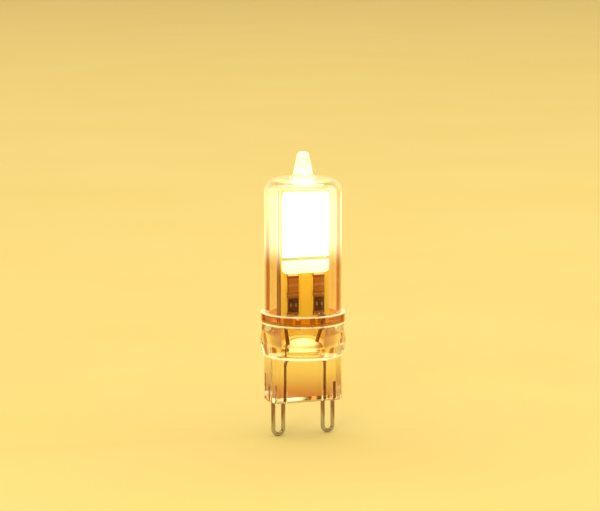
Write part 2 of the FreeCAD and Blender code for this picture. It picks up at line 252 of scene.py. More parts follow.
def painted_leaving_light(tree, place):
    """How much painted light of the boards a point under them gets, and the colour of that painted light.
    """
    off_axis = stretched_length(tree, place, (1, 1.2, 0))
    under_boards = add(tree, "ShaderNodeMapRange", {
        "Value": off_axis, "From Min": lit_to, "From Max": dark_from, "To Min": 1.0, "To Max": 0.0},
        interpolation_type="SMOOTHSTEP")
    yellower = add(tree, "ShaderNodeMapRange", {
        "Value": off_axis, "From Max": yellow_from}, interpolation_type="SMOOTHSTEP")
    colour = add(tree, "ShaderNodeMix", {
        0: yellower.outputs["Result"], 6: linear("F8FAF8"), 7: linear("DED8A8")}, data_type="RGBA")
    return under_boards.outputs["Result"], colour.outputs[2]


print("the boards light the boss up to", round(dark_from / MM, 1), "mm from the axis")

# %% [markdown]
# The base colour, the haze and the frosted places then feed one shader. A frosted place lets less light
# straight through, scatters more of it and gets a painted glow for the light that leaves the plastic there.

# %% Moulded clear polycarbonate
def clear_polycarbonate():
    """Clear warm resin with soft flow marks, frosted, and with a painted glow, where its light leaves it.
    """
    material, tree, place = new_material("moulded_clear_polycarbonate")
    flow_width = 2.5 * MM
    flow = add(tree, "ShaderNodeTexNoise", {"Vector": place, "Scale": 1 / flow_width, "Detail": 2.0})
    bump = add(tree, "ShaderNodeBump", {
        "Height": flow.outputs["Fac"], "Strength": 0.05, "Distance": 0.05 * MM})
    resin = add(tree, "ShaderNodeMix", {
        0: flow.outputs["Fac"], 6: linear("FDECB4"), 7: linear("F8E3A0")}, data_type="RGBA")
    collar = zone_amount(tree, place, [yellowed_collar])
    tint = add(tree, "ShaderNodeMix", {
        0: collar, 6: resin.outputs[2], 7: linear("F1B85A")}, data_type="RGBA")
    under_boards, painted_leaving = painted_leaving_light(tree, place)
    boss = add(tree, "ShaderNodeMath", {
        0: zone_amount(tree, place, [frosted_boss_and_painted_glow]), 1: under_boards}, operation="MULTIPLY")
    rims = zone_amount(tree, place, frosted_rims_and_painted_glow)
    frost_and_painted_glow = add(tree, "ShaderNodeMath", {0: rims, 1: boss.outputs[0]}, operation="MAXIMUM").outputs[0]
    haze = add(tree, "ShaderNodeMapRange", {
        "Value": flow.outputs["Fac"], "To Min": 0.0, "To Max": 0.03})
    dull = add(tree, "ShaderNodeMath", {
        0: frost_and_painted_glow, 1: 0.45, 2: haze.outputs["Result"]}, operation="MULTIPLY_ADD")
    clear = add(tree, "ShaderNodeMapRange", {"Value": frost_and_painted_glow, "To Min": 1.0, "To Max": 0.4})
    # Painted glow where the plastic is frosted.
    glow = add(tree, "ShaderNodeMix", {0: frost_and_painted_glow, 6: linear("000000"), 7: painted_leaving}, data_type="RGBA")
    shader = add(tree, "ShaderNodeBsdfPrincipled", {
        "Base Color": tint.outputs[2], "Roughness": dull.outputs[0], "IOR": 1.585,
        "Transmission Weight": clear.outputs["Result"], "Normal": bump.outputs["Normal"],
        "Emission Color": glow.outputs[2], "Emission Strength": 1.4})
    show(tree, shader)
    return material


plastic = clear_polycarbonate()
print("made", plastic.name)

# %% [markdown]
# Clear silicone beds the glass in the collar. It cured against the glass and the plastic, so it is softer
# and less polished than either, with small waves in it.

# %% Cured clear silicone
def clear_silicone():
    """Soft clear silicone with small waves and an uneven haze."""
    material, tree, place = new_material("cured_clear_silicone")
    wave_width = 0.8 * MM
    wave = add(tree, "ShaderNodeTexNoise", {"Vector": place, "Scale": 1 / wave_width, "Detail": 2.0})
    bump = add(tree, "ShaderNodeBump", {
        "Height": wave.outputs["Fac"], "Strength": 0.3, "Distance": 0.05 * MM})
    haze = add(tree, "ShaderNodeMapRange", {"Value": wave.outputs["Fac"], "To Min": 0.0, "To Max": 0.4})
    tint = add(tree, "ShaderNodeMix", {
        0: wave.outputs["Fac"], 6: linear("FAF5E6"), 7: linear("F3EAD2")}, data_type="RGBA")
    shader = add(tree, "ShaderNodeBsdfPrincipled", {
        "Base Color": tint.outputs[2], "Roughness": haze.outputs["Result"], "IOR": 1.41,
        "Transmission Weight": 0.9, "Normal": bump.outputs["Normal"]})
    show(tree, shader)
    return material


silicone = clear_silicone()
print("made", silicone.name)

# %% [markdown]
# The boards have an aluminium core with solder mask on it and routed edges. Where copper runs under the
# mask it stands a little higher and the mask looks warmer. At the joints the mask is open and the copper
# is tinned. Rectangles at the places of the pads and the copper say which finish is where, so the material
# needs no picture.

# %% Rectangles on a board's face
def inside(tree, place, rectangles):
    """1 inside any (x, z, width, length) rectangle on either side of the middle, and 0 outside."""
    split = add(tree, "ShaderNodeSeparateXYZ", {"Vector": place})
    sideways = add(tree, "ShaderNodeMath", {0: split.outputs["X"]}, operation="ABSOLUTE").outputs[0]
    fields = [((x - width / 2, x + width / 2), (z - length / 2, z + length / 2), 1.0)
              for x, z, width, length in rectangles]
    return field_amount(tree, sideways, split.outputs["Z"], fields)


lower_middle, lower_size = middle_and_size("resistor_lower_right")
upper_middle, upper_size = middle_and_size("resistor_upper_right")
print("a resistor's glazed block is", [round(size / MM, 2) for size in lower_size], "mm")

# %% [markdown]
# The pads follow from the pieces that stand on them: one beyond each end of a column of resistors, one
# round each pin and each link, and broad copper between them to lead the heat away.

# %% Pads and copper of the front board
cap_length = 0.4 * MM
column_x = lower_middle.x
column_low = lower_middle.z - lower_size.z / 2 - cap_length
column_high = upper_middle.z + upper_size.z / 2 + cap_length
column_middle = (column_low + column_high) / 2
pad_width = lower_size.x + 0.3 * MM
pad_length = 0.9 * MM
joint_low, joint_high = corners("solder_joints")
joint_z = (joint_low.z + joint_high.z) / 2
joint_x = joint_high.x - 0.7 * MM
link_x = corners("board_links")[1].x - 0.35 * MM
lead_in_z = (column_low + joint_z) / 2
joint_pad = (joint_x, joint_z, 1.5 * MM, 1.5 * MM)
link_pad = (link_x, board_low.z + 0.8 * MM, 1.0 * MM, 1.6 * MM)
emitter_field = (0, (dam_low.z + dam_high.z) / 2, 8.3 * MM, dam_high.z - dam_low.z + 0.3 * MM)

front_pads = [
    (column_x, column_low, pad_width, pad_length),
    (column_x, column_middle, pad_width, pad_length),
    (column_x, column_high, pad_width, pad_length),
    joint_pad,
    link_pad,
]
front_copper = [
    (column_x, lead_in_z, 1.4 * MM, column_low - joint_z),
    (joint_x, lead_in_z, 1.3 * MM, 1.6 * MM),
    (column_x, column_middle, 2.6 * MM, 2.2 * MM),
    (column_x, column_high + 0.4 * MM, 3.2 * MM, 1.2 * MM),
    emitter_field,
]
print("front pads:", len(front_pads), "and copper fields:", len(front_copper))

# %% [markdown]
# The back board carries the driver and the rectifier. Each of their leads has a pad, and the driver's tab
# sits on a broad copper field that takes its heat.

# %% Pads and copper of the back board
chip_z = middle_and_size("driver_chip")[0].z
rectifier_z = middle_and_size("bridge_rectifier")[0].z
lead_span = middle_and_size("rectifier_leads")[1]
lead_x = lead_span.x / 2 - 0.3 * MM
lead_row = lead_span.z / 2 - 0.3 * MM
driver_lead_low, driver_lead_high = corners("driver_leads")
lead_pad_z = driver_lead_low.z + 0.2 * MM

back_pads = [
    (0, lead_pad_z, 0.9 * MM, 1.1 * MM),
    (1.5 * MM, lead_pad_z, 0.9 * MM, 1.1 * MM),
    (0, driver_lead_high.z - 0.2 * MM, 2.2 * MM, 1.0 * MM),
    (lead_x, rectifier_z + lead_row, 1.2 * MM, 1.0 * MM),
    (lead_x, rectifier_z - lead_row, 1.2 * MM, 1.0 * MM),
    joint_pad,
    link_pad,
]
back_copper = [
    (0, chip_z, 5.4 * MM, 3.4 * MM),
    (lead_x + 0.2 * MM, rectifier_z, 1.6 * MM, 3.0 * MM),
    (joint_x, (joint_z + rectifier_z) / 2, 0.9 * MM, rectifier_z - joint_z),
    emitter_field,
]
print("back pads:", len(back_pads), "and copper fields:", len(back_copper))

# %% [markdown]
# A painted amber glow on a board's outer face stands for light from the emitter that creeps through the
# mask and comes back from the glass; it is strongest next to the dam. Painted light also lies on the edges
# where the emitter is beside them. Bare pads stay without it, and so do the inner faces, which lie on the
# silicone between the boards.

# %% Painted light on the boards
edge_dark_to = dam_low.z - 1.0 * MM
edge_lit_from = dam_low.z + 5.0 * MM


def painted_board_glow(tree, place, facing, edge, bare):
    """The colour of a board's painted glow, from where its surface faces, its edges and its bare places."""
    spot = add(tree, "ShaderNodeSeparateXYZ", {"Vector": place})
    away = add(tree, "ShaderNodeMath", {
        0: facing.outputs["Y"], 1: spot.outputs["Y"]}, operation="MULTIPLY")
    outer = add(tree, "ShaderNodeMath", {0: away.outputs[0], 1: 0.0}, operation="GREATER_THAN")
    masked = add(tree, "ShaderNodeMath", {0: outer.outputs[0], 1: bare}, operation="GREATER_THAN")
    near_dam = add(tree, "ShaderNodeMapRange", {
        "Value": spot.outputs["Z"], "From Min": board_low.z, "From Max": dam_low.z,
        "To Min": 0.75, "To Max": 1.0})
    lit_face = add(tree, "ShaderNodeMath", {
        0: near_dam.outputs["Result"], 1: masked.outputs[0]}, operation="MULTIPLY")
    painted_face_glow = add(tree, "ShaderNodeMix", {
        0: lit_face.outputs[0], 6: linear("000000"), 7: linear("C89C0E")}, data_type="RGBA")
    beside_field = add(tree, "ShaderNodeMapRange", {
        "Value": spot.outputs["Z"], "From Min": edge_dark_to, "From Max": edge_lit_from},
        interpolation_type="SMOOTHSTEP")
    lit_edge = add(tree, "ShaderNodeMath", {
        0: beside_field.outputs["Result"], 1: edge}, operation="MULTIPLY")
    glow = add(tree, "ShaderNodeMix", {
        0: lit_edge.outputs[0], 6: painted_face_glow.outputs[2], 7: linear("FFE9B4")}, data_type="RGBA")
    return glow.outputs[2]


print("board edges are fully lit from", round(edge_lit_from / MM, 1), "mm up")

# %% [markdown]
# Solder mask is printed as a liquid and cured, so it is satin and very slightly uneven. This one is white,
# and its yellow is painted amber light of the phosphor. The edges are routed through the aluminium core:
# dull metal, painted orange-brown for the amber light on it, with the cutter's marks along them, and
# painted paler along the top, where more light falls. The surface normal tells faces and edges apart.

# %% Solder mask over an aluminium core
def solder_mask(name, pads, copper):
    """Mask painted yellow for amber light, with copper under it, tinned pads in it and routed metal at the
    edges.
    """
    material, tree, place = new_material(name)
    cloud_width, grain_width, cutter_step = 1.2 * MM, 0.12 * MM, 0.1 * MM
    cloud = add(tree, "ShaderNodeTexNoise", {"Vector": place, "Scale": 1 / cloud_width, "Detail": 3.0})
    grain = add(tree, "ShaderNodeTexNoise", {"Vector": place, "Scale": 1 / grain_width, "Detail": 2.0})
    cutter = add(tree, "ShaderNodeMapping", {"Vector": place, "Scale": (1, 1, 0.08)})
    marks = add(tree, "ShaderNodeTexNoise", {
        "Vector": cutter.outputs["Vector"], "Scale": 1 / cutter_step, "Detail": 2.0})
    pad_field = inside(tree, place, pads)
    copper_field = inside(tree, place, copper)
    normal = add(tree, "ShaderNodeNewGeometry").outputs["Normal"]
    facing = add(tree, "ShaderNodeSeparateXYZ", {"Vector": normal})
    across = add(tree, "ShaderNodeMath", {0: facing.outputs["Y"]}, operation="ABSOLUTE")
    edge = add(tree, "ShaderNodeMath", {0: across.outputs[0], 1: 0.5}, operation="LESS_THAN").outputs[0]
    top = add(tree, "ShaderNodeMath", {0: facing.outputs["Z"], 1: 0.5}, operation="GREATER_THAN")
    bare = add(tree, "ShaderNodeMath", {0: pad_field, 1: edge}, operation="MAXIMUM").outputs[0]
    # The mask's yellow is painted amber light.
    mask = add(tree, "ShaderNodeMix", {
        0: cloud.outputs["Fac"], 6: linear("F6D85E"), 7: linear("EEC94E")}, data_type="RGBA")
    warm = add(tree, "ShaderNodeMix", {
        0: copper_field, 6: mask.outputs[2], 7: linear("E9B640")}, data_type="RGBA")
    tinned = add(tree, "ShaderNodeMix", {
        0: pad_field, 6: warm.outputs[2], 7: linear("C9B48C")}, data_type="RGBA")
    # The edges' orange-brown is painted amber light, and the paler top is painted light.
    routed = add(tree, "ShaderNodeMix", {
        0: marks.outputs["Fac"], 6: linear("A85410"), 7: linear("D0741C")}, data_type="RGBA")
    rim = add(tree, "ShaderNodeMix", {
        0: top.outputs[0], 6: routed.outputs[2], 7: linear("E8CF96")}, data_type="RGBA")
    colour = add(tree, "ShaderNodeMix", {
        0: edge, 6: tinned.outputs[2], 7: rim.outputs[2]}, data_type="RGBA")
    metallic = add(tree, "ShaderNodeMath", {0: edge, 1: 0.35, 2: pad_field}, operation="MULTIPLY_ADD")
    gloss = add(tree, "ShaderNodeMapRange", {"Value": bare, "To Min": 0.5, "To Max": 0.36})
    relief = add(tree, "ShaderNodeMath", {0: grain.outputs["Fac"], 1: 0.15}, operation="MULTIPLY")
    step = add(tree, "ShaderNodeMath", {0: copper_field, 1: relief.outputs[0]}, operation="ADD")
    bump = add(tree, "ShaderNodeBump", {
        "Height": step.outputs[0], "Strength": 0.5, "Distance": 0.04 * MM})
    # Painted glow of amber light on the outer faces and the edges.
    glow = painted_board_glow(tree, place, facing, edge, bare)
    shader = add(tree, "ShaderNodeBsdfPrincipled", {
        "Base Color": colour.outputs[2], "Metallic": metallic.outputs[0],
        "Roughness": gloss.outputs["Result"], "Normal": bump.outputs["Normal"],
        "Emission Color": glow, "Emission Strength": 1.0})
    show(tree, shader)
    return material


front_mask = solder_mask("front_amber_lit_solder_mask", front_pads, front_copper)
back_mask = solder_mask("back_amber_lit_solder_mask", back_pads, back_copper)
print("made", front_mask.name, "and", back_mask.name)

# %% [markdown]
# Between the boards lies a soft pad of silicone filled with ceramic powder: matt and finely speckled. It is
# pale grey, painted tan for the amber light on it. The powder's grains are too fine to show, so clumps of
# them are drawn.

# %% Filled silicone pad
def filled_silicone():
    """Matt silicone, painted tan for the amber light on it, with the speckle of its ceramic filler."""
    material, tree, place = new_material("filled_silicone_pad")
    clump = 0.15 * MM
    speckle = add(tree, "ShaderNodeTexNoise", {"Vector": place, "Scale": 1 / clump, "Detail": 3.0})
    # 8E5620 and A66C30 are painted amber light on a pale grey pad.
    colour = add(tree, "ShaderNodeMix", {
        0: speckle.outputs["Fac"], 6: linear("8E5620"), 7: linear("A66C30")}, data_type="RGBA")
    bump = add(tree, "ShaderNodeBump", {
        "Height": speckle.outputs["Fac"], "Strength": 0.3, "Distance": 0.03 * MM})
    shader = add(tree, "ShaderNodeBsdfPrincipled", {
        "Base Color": colour.outputs[2], "Roughness": 0.85, "Normal": bump.outputs["Normal"]})
    show(tree, shader)
    return material


pad_rubber = filled_silicone()
print("made", pad_rubber.name)

# %% [markdown]
# The dam is a frame of white silicone round each emitter. It is milky, and a painted glow on it stands for
# light from the phosphor that soaks into it. Level with the phosphor's lower rim, where no die is near, an
# olive line of painted shade runs across it.

# %% Milky silicone dam
dull_rim = 0.6 * MM
painted_shade_olive = "9AA856"
field_low = corners("front_phosphor")[0]


def milky_silicone():
    """White silicone with a painted glow for the phosphor beside it, and a painted olive shade line."""
    material, tree, place = new_material("milky_white_silicone")
    cloud_width = 0.7 * MM
    cloud = add(tree, "ShaderNodeTexNoise", {"Vector": place, "Scale": 1 / cloud_width, "Detail": 2.0})
    milky = add(tree, "ShaderNodeMix", {
        0: cloud.outputs["Fac"], 6: linear("F7F4EB"), 7: linear("EFEADB")}, data_type="RGBA")
    # Painted glow of the phosphor's light on the dam.
    painted_dam_glow = add(tree, "ShaderNodeMix", {
        0: cloud.outputs["Fac"], 6: linear("FFE6BC"), 7: linear("FFD79C")}, data_type="RGBA")
    # Painted olive shade line, level with the phosphor's lower rim.
    painted_shade_line = inside(tree, place, [(0, field_low.z + dull_rim / 2, 2 * dam_high.x, dull_rim)])
    colour = add(tree, "ShaderNodeMix", {
        0: painted_shade_line, 6: milky.outputs[2], 7: linear(painted_shade_olive)}, data_type="RGBA")
    glow = add(tree, "ShaderNodeMix", {
        0: painted_shade_line, 6: painted_dam_glow.outputs[2], 7: linear("6C6C40")}, data_type="RGBA")
    bump = add(tree, "ShaderNodeBump", {
        "Height": cloud.outputs["Fac"], "Strength": 0.2, "Distance": 0.05 * MM})
    shader = add(tree, "ShaderNodeBsdfPrincipled", {
        "Base Color": colour.outputs[2], "Roughness": 0.42, "Normal": bump.outputs["Normal"],
        "Emission Color": glow.outputs[2], "Emission Strength": 2.6})
    show(tree, shader)
    return material


dam_silicone = milky_silicone()
print("made", dam_silicone.name)

# %% [markdown]
# The phosphor is a yellow powder in silicone. Blue dies under it make it glow a warm white. Along its lower
# rim, where no die is near, it glows dimly and is painted olive, a line of painted shade beside the dam's
# broad foot. The strength is far above 1, so the field burns out to white in the picture, as a lamp does.
# The powder's grains and the gold fingers on the dies are too fine to show, so both are drawn coarser than
# they are.

# %% Glowing phosphor over its dies
def lit_phosphor():
    """Phosphor-filled silicone, bright over the dies, dim along its lower rim and painted olive there as
    shade.
    """
    material, tree, place = new_material("lit_yellow_phosphor")
    clump = 0.2 * MM
    field_middle, field_size = middle_and_size("front_phosphor")
    powder = add(tree, "ShaderNodeTexNoise", {"Vector": place, "Scale": 1 / clump, "Detail": 3.0})
    field = inside(tree, place, [(0, field_middle.z + dull_rim, 2 * field_size.x, field_size.z)])
    bright = add(tree, "ShaderNodeMix", {
        0: powder.outputs["Fac"], 6: linear("D9B24A"), 7: linear("B98F2E")}, data_type="RGBA")
    # The olive rim is painted shade.
    colour = add(tree, "ShaderNodeMix", {
        0: field, 6: linear(painted_shade_olive), 7: bright.outputs[2]}, data_type="RGBA")
    core = add(tree, "ShaderNodeMix", {
        0: powder.outputs["Fac"], 6: linear("FFC98C"), 7: linear("FFB468")}, data_type="RGBA")
    glow = add(tree, "ShaderNodeMix", {
        0: field, 6: linear("111207"), 7: core.outputs[2]}, data_type="RGBA")
    shader = add(tree, "ShaderNodeBsdfPrincipled", {
        "Base Color": colour.outputs[2], "Roughness": 0.55,
        "Emission Color": glow.outputs[2], "Emission Strength": 70.0})
    show(tree, shader)
    return material


def sapphire_die():
    """Polished sapphire with the gold contact fingers on it."""
    material, tree, place = new_material("polished_sapphire_die")
    finger_step = 0.6 * MM
    finger = add(tree, "ShaderNodeTexWave", {
        "Vector": place, "Scale": 1 / finger_step}, bands_direction="Z")
    colour = add(tree, "ShaderNodeMix", {
        0: finger.outputs["Fac"], 6: linear("6E86C4"), 7: linear("C9A85A")}, data_type="RGBA")
    shader = add(tree, "ShaderNodeBsdfPrincipled", {"Base Color": colour.outputs[2], "Roughness": 0.15})
    show(tree, shader)
    return material


phosphor = lit_phosphor()
die = sapphire_die()
print("made", phosphor.name, "and", die.name)

# %% [markdown]
# A chip resistor is a block of alumina with a glass glaze printed over its top. Flux ran up its sides in
# the oven and browned them. The upper pair, nearer the emitter, has its glaze painted orange-brown for the
# light on it, with a paler bar across it. The lower pair has its glaze painted dark brown, in shade, and
# two pale dashes stand for its printed value. They are generic.

# %% Printed marks of a resistor
dash_step = 0.45 * MM
dash_reach = 0.2 * MM
bar_width = 0.4 * MM


def two_dashes(tree, place, name):
    """1 in two short upright dashes on the front of a resistor, and 0 elsewhere."""
    middle = middle_and_size(name)[0]
    front_y = corners(name)[0].y
    ink = 0.0
    for step in (-dash_step, dash_step):
        spot = (middle.x + step, front_y, middle.z)
        offset = add(tree, "ShaderNodeVectorMath", {0: place, 1: spot}, operation="SUBTRACT")
        reach = stretched_length(tree, offset.outputs[0], (1, 1, 0.55))
        dash = add(tree, "ShaderNodeMath", {0: reach, 1: dash_reach}, operation="LESS_THAN")
        ink = add(tree, "ShaderNodeMath", {0: ink, 1: dash.outputs[0]}, operation="MAXIMUM").outputs[0]
    return ink


def one_bar(tree, place, name):
    """1 in a bar across the front of a resistor, and 0 elsewhere."""
    middle, size = middle_and_size(name)
    return inside(tree, place, [(abs(middle.x), middle.z, size.x, bar_width)])


print("a resistor gets two dashes", round(2 * dash_step / MM, 1), "mm apart or one bar")

# %% [markdown]
# The glaze flowed in the oven, so it is smooth with soft clouds, and under flux it hardly shines. The
# surface normal tells the glazed front from the browned sides.

# %% Glaze on alumina
def resistor_glaze(name, shades, mark, ink):
    """Overglaze in two shades on the front face, with a printed mark, and browned ceramic sides."""
    material, tree, place = new_material("glazed_alumina_" + name)
    cloud_width = 0.25 * MM
    cloud = add(tree, "ShaderNodeTexNoise", {"Vector": place, "Scale": 1 / cloud_width, "Detail": 2.0})
    normal = add(tree, "ShaderNodeNewGeometry").outputs["Normal"]
    facing = add(tree, "ShaderNodeSeparateXYZ", {"Vector": normal})
    front = add(tree, "ShaderNodeMath", {0: facing.outputs["Y"], 1: -0.5}, operation="LESS_THAN")
    glaze = add(tree, "ShaderNodeMix", {
        0: cloud.outputs["Fac"], 6: linear(shades[0]), 7: linear(shades[1])}, data_type="RGBA")
    printed = add(tree, "ShaderNodeMix", {
        0: mark(tree, place, name), 6: glaze.outputs[2], 7: linear(ink)}, data_type="RGBA")
    colour = add(tree, "ShaderNodeMix", {
        0: front.outputs[0], 6: linear("7A4A20"), 7: printed.outputs[2]}, data_type="RGBA")
    bump = add(tree, "ShaderNodeBump", {
        "Height": cloud.outputs["Fac"], "Strength": 0.25, "Distance": 0.02 * MM})
    shader = add(tree, "ShaderNodeBsdfPrincipled", {
        "Base Color": colour.outputs[2], "Roughness": 0.38, "Specular IOR Level": 0.08,
        "Normal": bump.outputs["Normal"]})
    show(tree, shader)
    return material


# Painted light and shade: the upper glaze is painted lighter for the emitter's light, the lower darker.
shaded_dark_glaze = ("480E02", "6E1A04")
lit_orange_glaze = ("D47A16", "EE9C26")
glazes = {}
for side in ("left", "right"):
    lower = "resistor_lower_" + side
    upper = "resistor_upper_" + side
    glazes[lower] = resistor_glaze(lower, shaded_dark_glaze, two_dashes, "B8824A")
    glazes[upper] = resistor_glaze(upper, lit_orange_glaze, one_bar, "F4B060")
print("made", len(glazes), "glazes")

# %% [markdown]
# The metals differ in how they were laid down. Tin plate is satin and slightly crystalline. On the
# resistors it is painted brown for the amber light it takes on. Solder froze from liquid and is bright and
# wavy. The nickel-plated wire was drawn through a die, which leaves fine lines along it, and where the plug
# covers it the wire is painted brown for the amber light on it there. Tin's crystals and the lines on the
# wire are too fine to show, so they are drawn coarser than they are. All keep the default index of a metal:
# colour, roughness and bump tell them apart.

# %% Tin plate, solder and drawn wire
blade_end = corners("plug_base")[0].z


def metal(name, shades, grain, stretch, gloss, relief, browned=None):
    """A bare metal with a grain of this size and stretch, which may be painted brown, for amber light,
    where the plug covers it.
    """
    material, tree, place = new_material(name)
    run = add(tree, "ShaderNodeMapping", {"Vector": place, "Scale": stretch})
    texture = add(tree, "ShaderNodeTexNoise", {
        "Vector": run.outputs["Vector"], "Scale": 1 / grain, "Detail": 3.0})
    colour = add(tree, "ShaderNodeMix", {
        0: texture.outputs["Fac"], 6: linear(shades[0]), 7: linear(shades[1])}, data_type="RGBA")
    # browned gives the painted amber light where the plug covers the metal.
    if browned:
        height = add(tree, "ShaderNodeSeparateXYZ", {"Vector": place}).outputs["Z"]
        covered = add(tree, "ShaderNodeMapRange", {
            "Value": height, "From Min": blade_end - 0.6 * MM, "From Max": blade_end + 0.2 * MM})
        painted_amber_inside = add(tree, "ShaderNodeMix", {
            0: texture.outputs["Fac"], 6: linear(browned[0]), 7: linear(browned[1])}, data_type="RGBA")
        colour = add(tree, "ShaderNodeMix", {
            0: covered.outputs["Result"], 6: colour.outputs[2], 7: painted_amber_inside.outputs[2]}, data_type="RGBA")
    rough = add(tree, "ShaderNodeMapRange", {
        "Value": texture.outputs["Fac"], "To Min": gloss[0], "To Max": gloss[1]})
    bump = add(tree, "ShaderNodeBump", {
        "Height": texture.outputs["Fac"], "Strength": relief, "Distance": 0.03 * MM})
    shader = add(tree, "ShaderNodeBsdfPrincipled", {
        "Base Color": colour.outputs[2], "Metallic": 1.0, "Roughness": rough.outputs["Result"],
        "Normal": bump.outputs["Normal"]})
    show(tree, shader)
    return material


crystals = {"grain": 0.2 * MM, "stretch": (1, 1, 1), "gloss": (0.28, 0.45), "relief": 0.2}
waves = {"grain": 0.5 * MM, "stretch": (1, 1, 1), "gloss": (0.12, 0.28), "relief": 0.4}
die_lines = {"grain": 0.12 * MM, "stretch": (1, 1, 0.05), "gloss": (0.1, 0.22), "relief": 0.15}
tin = metal("satin_tin_plate", ("D2C2A0", "A08C66"), **crystals)
# The end caps' brown is painted amber light.
amber_lit_tin = metal("amber_lit_tin_plate", ("B87A34", "7C4A18"), **crystals)
solder = metal("frozen_solder", ("CDC6B8", "A49B8B"), **waves)
wire = metal("drawn_nickel_wire", ("D2CCC0", "A0988A"), browned=("8E5A22", "5A3410"), **die_lines)
print("made", tin.name, amber_lit_tin.name, solder.name, wire.name)

# %% [markdown]
# The driver and the rectifier are moulded in black epoxy. The mould is spark eroded, which leaves an even
# fine grain, so the packages look dull black with a soft grey sheen. The grain is drawn about twice as
# coarse as it is, so that it shows from close by.

# %% Moulded black epoxy
def black_epoxy():
    """Dull black epoxy with the grain of a spark-eroded mould."""
    material, tree, place = new_material("moulded_black_epoxy")
    grain_width = 0.08 * MM
    grain = add(tree, "ShaderNodeTexNoise", {"Vector": place, "Scale": 1 / grain_width, "Detail": 2.0})
    colour = add(tree, "ShaderNodeMix", {
        0: grain.outputs["Fac"], 6: linear("151516"), 7: linear("2B2A2A")}, data_type="RGBA")
    rough = add(tree, "ShaderNodeMapRange", {
        "Value": grain.outputs["Fac"], "To Min": 0.45, "To Max": 0.65})
    bump = add(tree, "ShaderNodeBump", {
        "Height": grain.outputs["Fac"], "Strength": 0.4, "Distance": 0.02 * MM})
    shader = add(tree, "ShaderNodeBsdfPrincipled", {
        "Base Color": colour.outputs[2], "Roughness": rough.outputs["Result"],
        "Normal": bump.outputs["Normal"]})
    show(tree, shader)
    return material


epoxy = black_epoxy()
print("made", epoxy.name)

# %% [markdown]
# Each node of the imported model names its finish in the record. The materials go onto the nodes by that
# name, except the boards, the resistors and their end caps, which have finishes of their own.

# %% Dress the nodes
finishes = {
    "clear_glass": glass,
    "clear_polycarbonate": plastic,
    "clear_silicone": silicone,
    "thermal_pad": pad_rubber,
    "white_dam": dam_silicone,
    "lit_phosphor": phosphor,
    "led_die": die,
    "black_epoxy": epoxy,
    "tin_plate": tin,
    "solder": solder,
    "nickel_wire": wire,
}
own_finishes = {
    "front_board": front_mask,
    "back_board": back_mask,
    "resistor_end_caps": amber_lit_tin,
    **glazes,
}
for entry in frame["record"]["subparts"]:
    node = frame["nodes"][entry["node"]]
    finish = own_finishes.get(entry["node"]) or finishes[entry["material_slot"]]
    node.data.materials.clear()
    node.data.materials.append(finish)

# %% [markdown]
# Clear pieces let the lamps through. A renderer that follows light from the camera can't find a lamp
# behind two glass walls in reasonable time, so the clear pieces are told to cast no shadow. Light is also
# mirrored many times inside the glass shoulder and the plug. A path that ends too early there is black, so
# more steps than usual are allowed.

# %% Clear pieces let light through
for name in ("glass_envelope", "plug_base", "sealing_ring"):
    frame["nodes"][name].visible_shadow = False
all_steps = 24
clear_steps = 16
scene = bpy.context.scene
scene.cycles.caustics_refractive = False
scene.cycles.caustics_reflective = True
scene.cycles.max_bounces = all_steps
scene.cycles.glossy_bounces = clear_steps
scene.cycles.transmission_bounces = clear_steps
print("mirror steps allowed:", scene.cycles.glossy_bounces)

# %% [markdown]
# The bulb stands on its pins on a plain floor of pale warm paper, large enough to fill the picture. The
# floor and a few more flat pieces belong to the stage, and one function makes them all.

# %% Floor
paper_shades = ("FADE80", "F7D670")


def stage_piece(name, points, faces, material):
    """A flat piece of the stage from its points and faces."""
    mesh = bpy.data.meshes.new(name)
    mesh.from_pydata(points, [], faces)
    mesh.materials.append(material)
    piece = bpy.data.objects.new(name, mesh)
    scene.collection.objects.link(piece)
    return piece


def paper():
    """Uncoated pale paper with a very soft cloud in its tone."""
    material, tree, place = new_material("uncoated_warm_paper")
    cloud_width = 60 * MM
    cloud = add(tree, "ShaderNodeTexNoise", {"Vector": place, "Scale": 1 / cloud_width, "Detail": 2.0})
    colour = add(tree, "ShaderNodeMix", {
        0: cloud.outputs["Fac"], 6: linear(paper_shades[0]), 7: linear(paper_shades[1])}, data_type="RGBA")
    shader = add(tree, "ShaderNodeBsdfPrincipled", {"Base Color": colour.outputs[2], "Roughness": 0.85})
    show(tree, shader)
    return material


one_face = [(0, 1, 2, 3)]
floor_z = cad_box[0][2]
floor_reach = 4.0
floor_corners = [(-1, -1), (1, -1), (1, 1), (-1, 1)]
floor_points = [(x * floor_reach, y * floor_reach, floor_z) for x, y in floor_corners]
stage_piece("studio_floor", floor_points, one_face, paper())
print("floor at", round(floor_z / MM, 2), "mm")

# %% [markdown]
# The room lights the bulb with plain grey light. What glass and metal show of the room is warm, as pale as
# the paper near the floor and amber overhead, because they would mirror the glow of the bulb on its walls.

